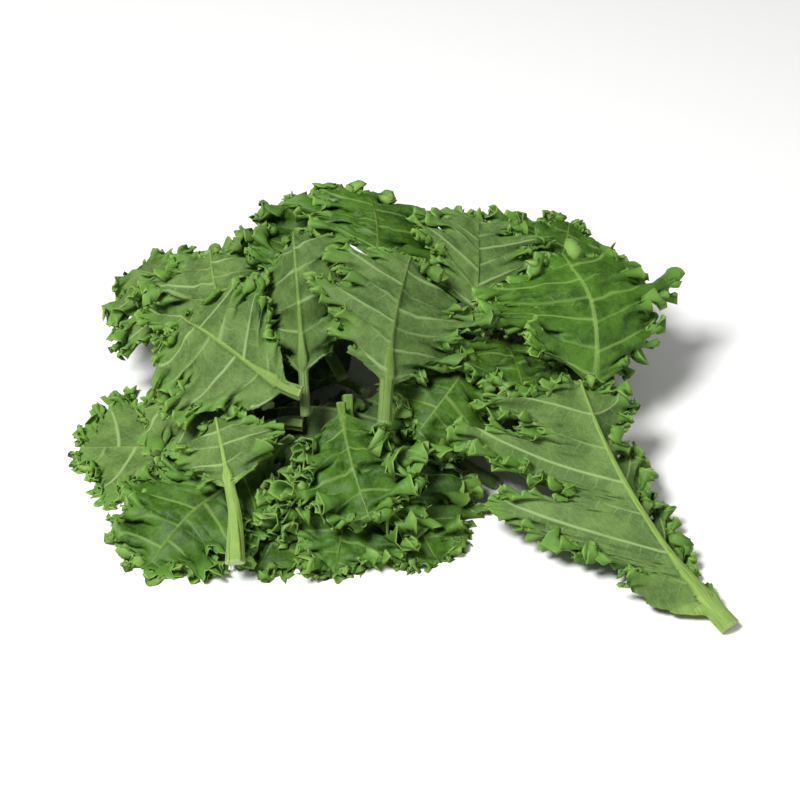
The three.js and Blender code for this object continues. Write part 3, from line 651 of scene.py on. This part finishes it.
# The middle surface of the fine leaf: small lobes and teeth widen it, it gets the lift of the solid leaf and
# then its frills. It also gives the distance of each point from the margin.
def fineMiddle(leaf, solid, plan):
    seed, t, out, side, along = (leaf["seed"], plan["t"], plan["out"], plan["side"], plan["along"])
    spacing, deep = frills["lobelets"]
    turn = along / spacing + 0.5 * wobble(seed, 11, along / 31)
    uneven = 0.8 + 0.4 * wobble(seed, 14, along / 23)
    lobelet = deep * (1 - 2 * np.abs(np.cos(math.pi * turn)) ** 3) * uneven
    spacing, deep = frills["teeth"]
    turn = along / spacing + 0.45 * wobble(seed, 12, along / 9)
    uneven = 0.6 + 0.5 * wobble(seed, 13, along / 14)
    tooth = deep * uneven * (np.abs(2 * (turn - np.floor(turn)) - 1) * 2 - 1)
    fade = smooth(0, 0.06, bladeShare(leaf, t))[:, None]
    extra = fade * (lobelet * out**3 + tooth * out**9)
    s = bladeShare(leaf, t)[:, None]
    extra = extra + leaf["skirt"] * smooth(0, 0.05, s) * (1 - smooth(0.2, 0.5, s)) * out
    girth = leaf["stem"] * (1 - (1 - blade["ribShare"]) * smooth(0, 0.3, s))
    points, facts = leafSurface(leaf, plan["rib"], t, side, plan["across"], out, extra, girth)

    # the lift of the solid leaf, read between its grid points and smoothed along the rows
    rows = np.stack([np.interp(t, solid["t"], solid["lift"][:, k]) for k in range(len(solid["place"]))], 1)
    units = np.eye(len(solid["place"]))
    weights = np.stack([np.interp(plan["place"], solid["place"], row) for row in units])
    lift = rows @ weights
    for _ in range(blade["evenings"]):
        lift[1:-1] = (lift[:-2] + 2 * lift[1:-1] + lift[2:]) / 4
    for _ in range(2):
        lift[:, 1:-1] = (lift[:, :-2] + 2 * lift[:, 1:-1] + lift[:, 2:]) / 4
    points = eye + (points - eye) * (1 + lift / np.linalg.norm(points - eye, axis=-1))[..., None]

    far = 99  # the bare petiole counts as this far from any margin, mm
    edge = (1 - out) * facts["width"] * facts["spread"] + far * (1 - facts["spread"])
    low, resting = readMap(softened(solid["below"]), points)
    above = np.minimum(solid["above"], solid["below"] + frills["ceiling"] / depth)
    high, _ = readMap(softened(above, 2), points)
    room = np.maximum(resting - low, 0) * depth
    space = np.maximum(high - low, 0) * depth
    points = addFrills(leaf, points, facts, along, edge, room, space)

    # a frill stays between the leaf below and the leaf above, and over the surface that the heap lies on
    low, scale = readMap(softened(solid["below"]), points)
    gap = frills["clearance"] / depth
    low = np.minimum(low + gap, resting)
    wanted = low + softFloor(scale - low, frills["softness"] / depth)
    high, _ = readMap(solid["above"].reshape(cells, cells).astype(float), points)
    wanted = np.minimum(wanted, np.maximum(high - gap, resting))
    points = eye + (points - eye) * (wanted / scale)[..., None]
    points[..., 2] = blade["lowest"] + softFloor(points[..., 2] - blade["lowest"], blade["lowSoftness"])

    # and the topmost frills are pressed down below the top of the solid leaves
    under = solidBox[1].z / mm - points[..., 2]
    points[..., 2] -= softFloor(-under, blade["topSoftness"]) * smooth(20, 0, under)
    return points, facts, edge


# Places of the side veins: one runs into each lobe and a weaker one between, curving towards the tip
def veinFacts(leaf, plan, facts):
    count = (2 * (leaf["lobes"] * facts["s"] + facts["phase"]) - 0.4 * plan["out"] ** 2
             + 0.1 * wobble(leaf["seed"], 15, 9 * facts["s"]))
    length = (1 - leaf["stalk"]) * plan["rib"]["length"]
    step = length / (2 * leaf["lobes"])
    nearest = np.round(count)
    weak, strong = blade["veinStrength"]
    strength = (strong + weak) / 2 - (strong - weak) / 2 * np.cos(math.pi * nearest)
    return count, step, np.abs(count - nearest) * step, strength


# The two faces stand off the middle along its normals: on the petiole by a half round section with a groove
# on the upper side, on the blade by a thin skin with the midrib and the side veins standing out underneath.
# green holds what the skin's colours depend on: plan has the number of veins passed, the distance from the
# midrib and the way along it, look the side, the distance from the margin and the midrib's paleness, and
# grain the spacing of the veins, the leaf's tone and the cut end.
def fineFaces(leaf, plan, points, facts, edge):
    count, step, apart, strength = veinFacts(leaf, plan, facts)
    upwards = -1.0 if leaf["under"] else 1.0
    inside = smooth(0, 0.12, plan["out"]) * (1 - smooth(0.75, 1, plan["out"])) * facts["spread"]
    bulge = blade["pucker"] * (1 - np.exp(-((apart / blade["puckerWidth"]) ** 2))) * inside
    along = plan["along"]
    rumple = wobble(leaf["seed"], 16, facts["distance"] / 5 + along / 23)
    rumple = rumple * wobble(leaf["seed"], 17, along / 7)
    rumple = blade["rumple"] * leaf["ruffle"] ** 2 * rumple * inside
    normal, _ = surfaceNormals(points)
    points = points + normal * (upwards * (bulge + rumple))[..., None]
    normal, _ = surfaceNormals(points)

    radius, spread, distance = facts["radius"], facts["spread"], facts["distance"]
    section = np.maximum(np.sqrt(np.maximum(1 - plan["across"] ** 2, 0)), 0.1) * radius
    groove = 0.3 * radius * np.exp(-((plan["across"] / 0.4) ** 2))
    thin = blade["halfMargin"] + (blade["halfMiddle"] - blade["halfMargin"]) * (1 - plan["out"])
    ridge = 1 - smooth(0.6 * radius, 1.3 * radius, distance)
    vein = strength * np.exp(-((apart / blade["veinWidth"]) ** 2)) * (1 - plan["out"]) ** 0.8
    vein = vein * smooth(0.02, 0.12, facts["s"]) * (1 - ridge)
    lower = thin + 0.95 * radius * ridge + blade["veinHeight"] * vein
    upper = thin + 0.1 * radius * ridge - 0.12 * vein
    lower = section + spread * (lower - section)
    upper = 0.75 * section - groove + spread * (upper - 0.75 * section + groove)
    outer, inner = (lower, upper) if leaf["under"] else (upper, lower)
    front = points + normal * outer[..., None]
    back = points - normal * inner[..., None]
    back[..., 2] = np.maximum(back[..., 2], 0)
    front[..., 2] = np.maximum(front[..., 2], 2 * blade["halfMargin"])
    ones = np.ones_like(count)
    station = plan["middleLength"][:, None] * ones
    green = dict(
        plan=np.stack([count, distance * ones, station], -1),
        look=np.stack([ones, edge * ones, np.maximum(1 - spread, ridge) * leaf["pale"] * ones], -1),
        grain=np.stack([step * ones, leaf["tone"] * ones, (plan["t"][:, None] < 1e-6) * ones], -1),
    )
    return front, back, green


# Triangles of one face. A column of cells has the rows of the coarser of its two columns of points, and
# where one side has twice as many, three triangles fill a cell instead of two.
def faceTriangles(rows, columns, skips):
    parts = []
    for j in range(columns - 1):
        left, right = skips[j], skips[j + 1]
        step = max(left, right)
        a = np.arange(0, rows - 1, step) * columns + j
        b, d, c = a + 1, a + step * columns, a + step * columns + 1
        if left == right:
            parts += [(a, d, c), (a, c, b)]
        elif left < right:
            middle = a + left * columns
            parts += [(a, middle, b), (middle, c, b), (middle, d, c)]
        else:
            middle = b + right * columns
            parts += [(a, middle, b), (a, d, middle), (d, c, middle)]
    return np.concatenate([np.stack(part, 1) for part in parts])


def rimTriangles(rows, columns):  # closes the two faces along their whole border
    grid = np.arange(rows * columns).reshape(rows, columns)
    border = np.concatenate([grid[0, :-1], grid[:-1, -1], grid[-1, :0:-1], grid[:0:-1, 0]])
    following = np.roll(border, -1)
    size = rows * columns
    return np.concatenate([np.stack([border, following + size, following], 1),
                           np.stack([border, border + size, following + size], 1)])


def meshOf(name, points, triangles, flat, attributes, skin):  # a closed mesh from arrays, in metres
    used, index = np.unique(triangles, return_inverse=True)
    triangles = index.reshape(-1, 3)
    mesh = bpy.data.meshes.new(name)
    mesh.vertices.add(len(used))
    mesh.vertices.foreach_set("co", (points[used] * mm).astype(np.float32).ravel())
    mesh.loops.add(3 * len(triangles))
    mesh.loops.foreach_set("vertex_index", triangles.astype(np.int32).ravel())
    mesh.polygons.add(len(triangles))
    mesh.polygons.foreach_set("loop_start", np.arange(0, 3 * len(triangles), 3, dtype=np.int32))
    mesh.polygons.foreach_set("use_smooth", ~flat)
    for key, values in attributes.items():
        layer = mesh.attributes.new(key, "FLOAT_VECTOR", "POINT")
        layer.data.foreach_set("vector", values[used].astype(np.float32).ravel())
    mesh.update(calc_edges=True)
    mesh.validate()
    mesh.materials.append(skin)
    thing = bpy.data.objects.new(name, mesh)
    bpy.context.scene.collection.objects.link(thing)
    return thing


def makeLeaf(leaf, solid, skin):
    plan = leafPlan(leaf, solid)
    points, facts, edge = fineMiddle(leaf, solid, plan)
    front, back, green = fineFaces(leaf, plan, points, facts, edge)
    rows, columns = front.shape[:2]
    size = rows * columns
    face = faceTriangles(rows, columns, plan["skips"])
    rim = rimTriangles(rows, columns)
    triangles = np.concatenate([face[:, ::-1], face + size, rim])
    flat = np.zeros(len(triangles), bool)
    butt = np.arange(columns - 1)
    flat[2 * len(face) + butt] = True
    flat[2 * len(face) + len(rim) // 2 + butt] = True
    attributes = {}
    for key, values in green.items():
        both = np.stack([values, values])
        if key == "look":
            both[0, ..., 0] = 0.0 if leaf["under"] else 1.0
            both[1, ..., 0] = 1.0 if leaf["under"] else 0.0
        attributes[key] = both.reshape(-1, 3)
    spots = np.concatenate([front.reshape(-1, 3), back.reshape(-1, 3)]) + heap["shift"]
    thing = meshOf("fine_" + leaf["name"], spots, triangles, flat, attributes, skin)
    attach(thing, "root")
    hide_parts(leaf["name"])
    return len(triangles)


def hexColour(text, alpha=1.0):  # an sRGB hex value turned linear
    parts = [int(text[k : k + 2], 16) / 255 for k in (1, 3, 5)]
    return (*(c / 12.92 if c <= 0.04045 else ((c + 0.055) / 1.055) ** 2.4 for c in parts), alpha)


def addNode(tree, kind, inputs=None, **settings):  # a node with its settings; a socket as an input is linked
    made = tree.nodes.new(kind)
    for key, value in settings.items():
        setattr(made, key, value)
    for key, value in (inputs or {}).items():
        if isinstance(value, bpy.types.NodeSocket):
            tree.links.new(value, made.inputs[key])
        else:
            made.inputs[key].default_value = value
    return made


# Kale leaf: a thin blade under a waxy cuticle. The upper side is a deep green with a soft gloss, the
# underside paler and matt from its bloom of wax, with raised veins; the frilled margins are a brighter
# green, partly the younger margin's own colour and partly painted highlight standing for the lit crests of
# the frills.
kaleGreen = dict(
    upperDeep="#294a0c", upperLight="#42681b",
    underDeep="#48622c", underLight="#5e7b3c",
    # the margin green is the younger margin's own colour brightened by painted highlight for the lit frill
    # crests
    marginGreenAndHighlight="#5f8a34", rim="#81a04e",
    veinUpper="#708e45", veinUnder="#8ba468",
    stem="#88a450", stemDark="#6d8a40", cut="#a3b57a", bundle="#71894a",
    patch=16.0,  # size of the lighter and darker patches, mm
    mottle=1.8,  # size of the fine mottling, mm
    bundles=1.5,  # spacing of the dark strands that show in a cut stem, mm
    network=3.4,  # mesh of the finest veins, mm; the real one is about 1, drawn coarser so that it shows
    branchStep=8.5,  # spacing of the branches of a side vein, mm
    branchWidth=0.42,  # half the width of a branch, mm
    branchBend=9.0,  # length of the bends in a branch, mm
    branchSway=4.0,  # and how far they go, mm
    branchLean=0.8,  # how far a branch leans outwards, mm per mm
    sideVein=(0.3, 1.15, 34.0),  # half its width at the margin, and 34 mm further in, mm
    branchShow=0.65,  # how strongly the finer veins show beside a side vein
    networkShow=0.17,
    networkLine=0.09,  # width of the finest veins, as a share of their mesh
    veinOnUpper=0.8,  # how far a vein takes the place of the green of each side
    veinOnUnder=0.9,
    youngAndHighlightBand=(1.0, 13.0),  # the brighter margin green, partly its own younger colour and partly painted highlight, fades out this far from the margin, mm
    youngAndHighlightShare=0.75,
    rimBand=(0.2, 1.5),
    rimShare=0.6,
    roughness=0.66,  # of the underside
    gloss=0.12,  # how much smoother the upper side is
    roughUneven=0.25,
    relief=0.4,  # height of the finest relief, mm
)


def waxyLeaf(look):
    material = bpy.data.materials.new("waxyKaleLeaf")
    material.use_nodes = True
    tree = material.node_tree
    tree.nodes.clear()

    def maths(operation, a, b=0.0, clamp=False):
        return addNode(tree, "ShaderNodeMath", {0: a, 1: b}, operation=operation, use_clamp=clamp).outputs[0]

    def ramp(value, start, end):  # 0 at start, 1 at end, with soft ends
        return addNode(tree, "ShaderNodeMapRange", {"Value": value, "From Min": start, "From Max": end},
                       interpolation_type="SMOOTHSTEP").outputs[0]

    def blend(share, a, b):
        mix = addNode(tree, "ShaderNodeMix", {0: share, 6: a, 7: b}, data_type="RGBA")
        return mix.outputs[2]

    def parts(name):
        source = addNode(tree, "ShaderNodeAttribute", attribute_name=name, attribute_type="GEOMETRY")
        return addNode(tree, "ShaderNodeSeparateXYZ", {0: source.outputs["Vector"]}).outputs

    count, across, along = parts("plan")
    upper, edge, rib = parts("look")
    step, tone, cut = parts("grain")
    place = addNode(tree, "ShaderNodeTexCoord").outputs["Object"]

    # side veins, and their branches that lean outwards
    nearest = maths("ROUND", count)
    apart = maths("MULTIPLY", maths("ABSOLUTE", maths("SUBTRACT", count, nearest)), step)
    weak, strong = blade["veinStrength"]
    turning = maths("MULTIPLY", maths("COSINE", maths("MULTIPLY", nearest, math.pi)), (strong - weak) / 2)
    strength = maths("SUBTRACT", (strong + weak) / 2, turning)
    thin, thick, inwards = look["sideVein"]
    width = maths("ADD", maths("MULTIPLY", ramp(edge, 0, inwards), thick - thin), thin)
    side = maths("SUBTRACT", 1.0, maths("DIVIDE", apart, width), clamp=True)
    side = maths("MULTIPLY", maths("POWER", side, 0.6), strength)
    bend = addNode(tree, "ShaderNodeTexNoise",
                   {"Vector": place, "Scale": 1000 / look["branchBend"], "Detail": 1.0}).outputs[0]
    reach = maths("SUBTRACT", across, maths("MULTIPLY", apart, look["branchLean"]))
    reach = maths("ADD", reach, maths("MULTIPLY", bend, look["branchSway"]))
    reach = maths("DIVIDE", reach, look["branchStep"])
    branch = maths("ABSOLUTE", maths("SUBTRACT", reach, maths("ROUND", reach)))
    branch = maths("MULTIPLY", branch, look["branchStep"])
    branch = maths("SUBTRACT", 1.0, maths("DIVIDE", branch, look["branchWidth"]), clamp=True)
    fading = maths("SUBTRACT", 1.0, maths("DIVIDE", apart, maths("MULTIPLY", step, 0.62)), clamp=True)
    branch = maths("MULTIPLY", maths("MULTIPLY", branch, fading), look["branchShow"])
    flat = {0: across, 1: along, 2: maths("MULTIPLY", upper, 7)}
    flat = addNode(tree, "ShaderNodeCombineXYZ", flat).outputs[0]
    net = addNode(tree, "ShaderNodeTexVoronoi", {"Vector": flat, "Scale": 1 / look["network"]},
                  feature="DISTANCE_TO_EDGE").outputs["Distance"]
    net = maths("SUBTRACT", 1.0, ramp(net, 0.0, look["networkLine"]))
    net = maths("MULTIPLY", net, look["networkShow"])
    veins = maths("MAXIMUM", maths("MAXIMUM", side, branch), net)

    # the green of the blade, in patches and with a fine mottling
    patch = addNode(tree, "ShaderNodeTexNoise",
                    {"Vector": place, "Scale": 1000 / look["patch"], "Detail": 2.0}).outputs[0]
    mottle = addNode(tree, "ShaderNodeTexNoise",
                     {"Vector": place, "Scale": 1000 / look["mottle"], "Detail": 3.0}).outputs[0]
    shade = ramp(maths("ADD", maths("MULTIPLY", patch, 0.75), maths("MULTIPLY", mottle, 0.25)), 0.36, 0.64)
    above = blend(shade, hexColour(look["upperDeep"]), hexColour(look["upperLight"]))
    below = blend(shade, hexColour(look["underDeep"]), hexColour(look["underLight"]))
    above = blend(maths("MULTIPLY", veins, look["veinOnUpper"]), above, hexColour(look["veinUpper"]))
    below = blend(maths("MULTIPLY", veins, look["veinOnUnder"]), below, hexColour(look["veinUnder"]))
    green = blend(upper, below, above)
    # the margin band: the younger margin's own brighter green, with painted highlight for the lit frill
    # crests
    youngAndHighlight = maths("SUBTRACT", 1.0, ramp(edge, *look["youngAndHighlightBand"]))
    youngAndHighlight = maths("MULTIPLY", youngAndHighlight, look["youngAndHighlightShare"])
    green = blend(youngAndHighlight, green, hexColour(look["marginGreenAndHighlight"]))
    rim = maths("SUBTRACT", 1.0, ramp(edge, *look["rimBand"]))
    rim = maths("MULTIPLY", rim, look["rimShare"])
    green = blend(rim, green, hexColour(look["rim"]))

    # midrib and petiole, with fine lines along them, and the paler cut end
    lines = addNode(tree, "ShaderNodeCombineXYZ", {0: maths("MULTIPLY", across, 3.2),
                                                   1: maths("MULTIPLY", along, 0.09), 2: upper}).outputs[0]
    lines = addNode(tree, "ShaderNodeTexNoise", {"Vector": lines, "Scale": 1.0, "Detail": 2.0}).outputs[0]
    stem = blend(ramp(lines, 0.35, 0.65), hexColour(look["stemDark"]), hexColour(look["stem"]))
    green = blend(ramp(rib, 0.25, 0.8), green, stem)
    bundles = addNode(tree, "ShaderNodeTexVoronoi", {"Vector": place, "Scale": 1000 / look["bundles"]})
    bundles = maths("SUBTRACT", 1.0, ramp(bundles.outputs["Distance"], 0.1, 0.35))
    end = blend(bundles, hexColour(look["cut"]), hexColour(look["bundle"]))
    green = blend(cut, green, end)
    green = addNode(tree, "ShaderNodeHueSaturation", {"Color": green, "Value": tone}).outputs[0]

    rough = maths("SUBTRACT", look["roughness"], maths("MULTIPLY", upper, look["gloss"]))
    uneven = maths("SUBTRACT", mottle, 0.5)
    rough = maths("ADD", rough, maths("MULTIPLY", uneven, look["roughUneven"]))
    relief = maths("ADD", maths("MULTIPLY", maths("MAXIMUM", branch, net), maths("SUBTRACT", 0.5, upper)),
                   maths("MULTIPLY", mottle, 0.5))
    bump = addNode(tree, "ShaderNodeBump",
                   {"Height": relief, "Distance": look["relief"] * mm, "Strength": 0.55})
    skin = addNode(tree, "ShaderNodeBsdfPrincipled", {
        "Base Color": green, "Roughness": rough, "Normal": bump.outputs[0],
        "IOR": 1.4, "Specular IOR Level": 0.3,
        "Subsurface Weight": 0.14, "Subsurface Radius": (0.7, 1.0, 0.3), "Subsurface Scale": 0.0016,
    })
    output = addNode(tree, "ShaderNodeOutputMaterial", {"Surface": skin.outputs[0]})
    output.is_active_output = True
    return material


leafSkin = waxyLeaf(kaleGreen)
total = 0
for leaf, solid in zip(leaves, stacked):
    size = makeLeaf(leaf, solid, leafSkin)
    total += size
    print(f"{leaf['name']}: {size} triangles")
print(f"made {len(leaves)} leaves, {total} triangles")

# A plain pale floor and soft studio light, in metres and watts
studio = dict(
    floor="#f1f1ef",
    reach=6.0,  # half the side of the floor
    world=0.19,
    aim=(0, 0, 0.03),
    keyLight=dict(place=(-0.7, -0.6, 1.6), power=48.0, size=0.65),
    fillLight=dict(place=(1.3, -0.5, 1.1), power=6.0, size=1.2),
)


def softLight(name, look, target):
    data = bpy.data.lights.new(name, "AREA")
    data.energy = look["power"]
    data.shape = "DISK"
    data.size = look["size"]
    thing = bpy.data.objects.new(name, data)
    thing.location = look["place"]
    thing.rotation_euler = (Vector(target) - Vector(look["place"])).to_track_quat("-Z", "Y").to_euler()
    bpy.context.scene.collection.objects.link(thing)


def makeStudio(look):
    reach = look["reach"]
    corners = [(-reach, -reach, 0), (reach, -reach, 0), (reach, reach, 0), (-reach, reach, 0)]
    data = bpy.data.meshes.new("floor")
    data.from_pydata(corners, [], [(0, 1, 2, 3)])
    floor = bpy.data.objects.new("floor", data)
    bpy.context.scene.collection.objects.link(floor)
    paint = bpy.data.materials.new("mattWhiteFloor")
    paint.use_nodes = True
    shader = paint.node_tree.nodes["Principled BSDF"]
    shader.inputs["Base Color"].default_value = hexColour(look["floor"])
    shader.inputs["Roughness"].default_value = 0.9
    data.materials.append(paint)
    world = bpy.data.worlds.new("studio")
    world.use_nodes = True
    sky = world.node_tree.nodes["Background"]
    sky.inputs["Color"].default_value = (1, 1, 1, 1)
    sky.inputs["Strength"].default_value = look["world"]
    bpy.context.scene.world = world
    bpy.context.scene.view_settings.view_transform = "Standard"
    for name in ("keyLight", "fillLight"):
        softLight(name, look[name], look["aim"])


makeStudio(studio)
print("studio ready")
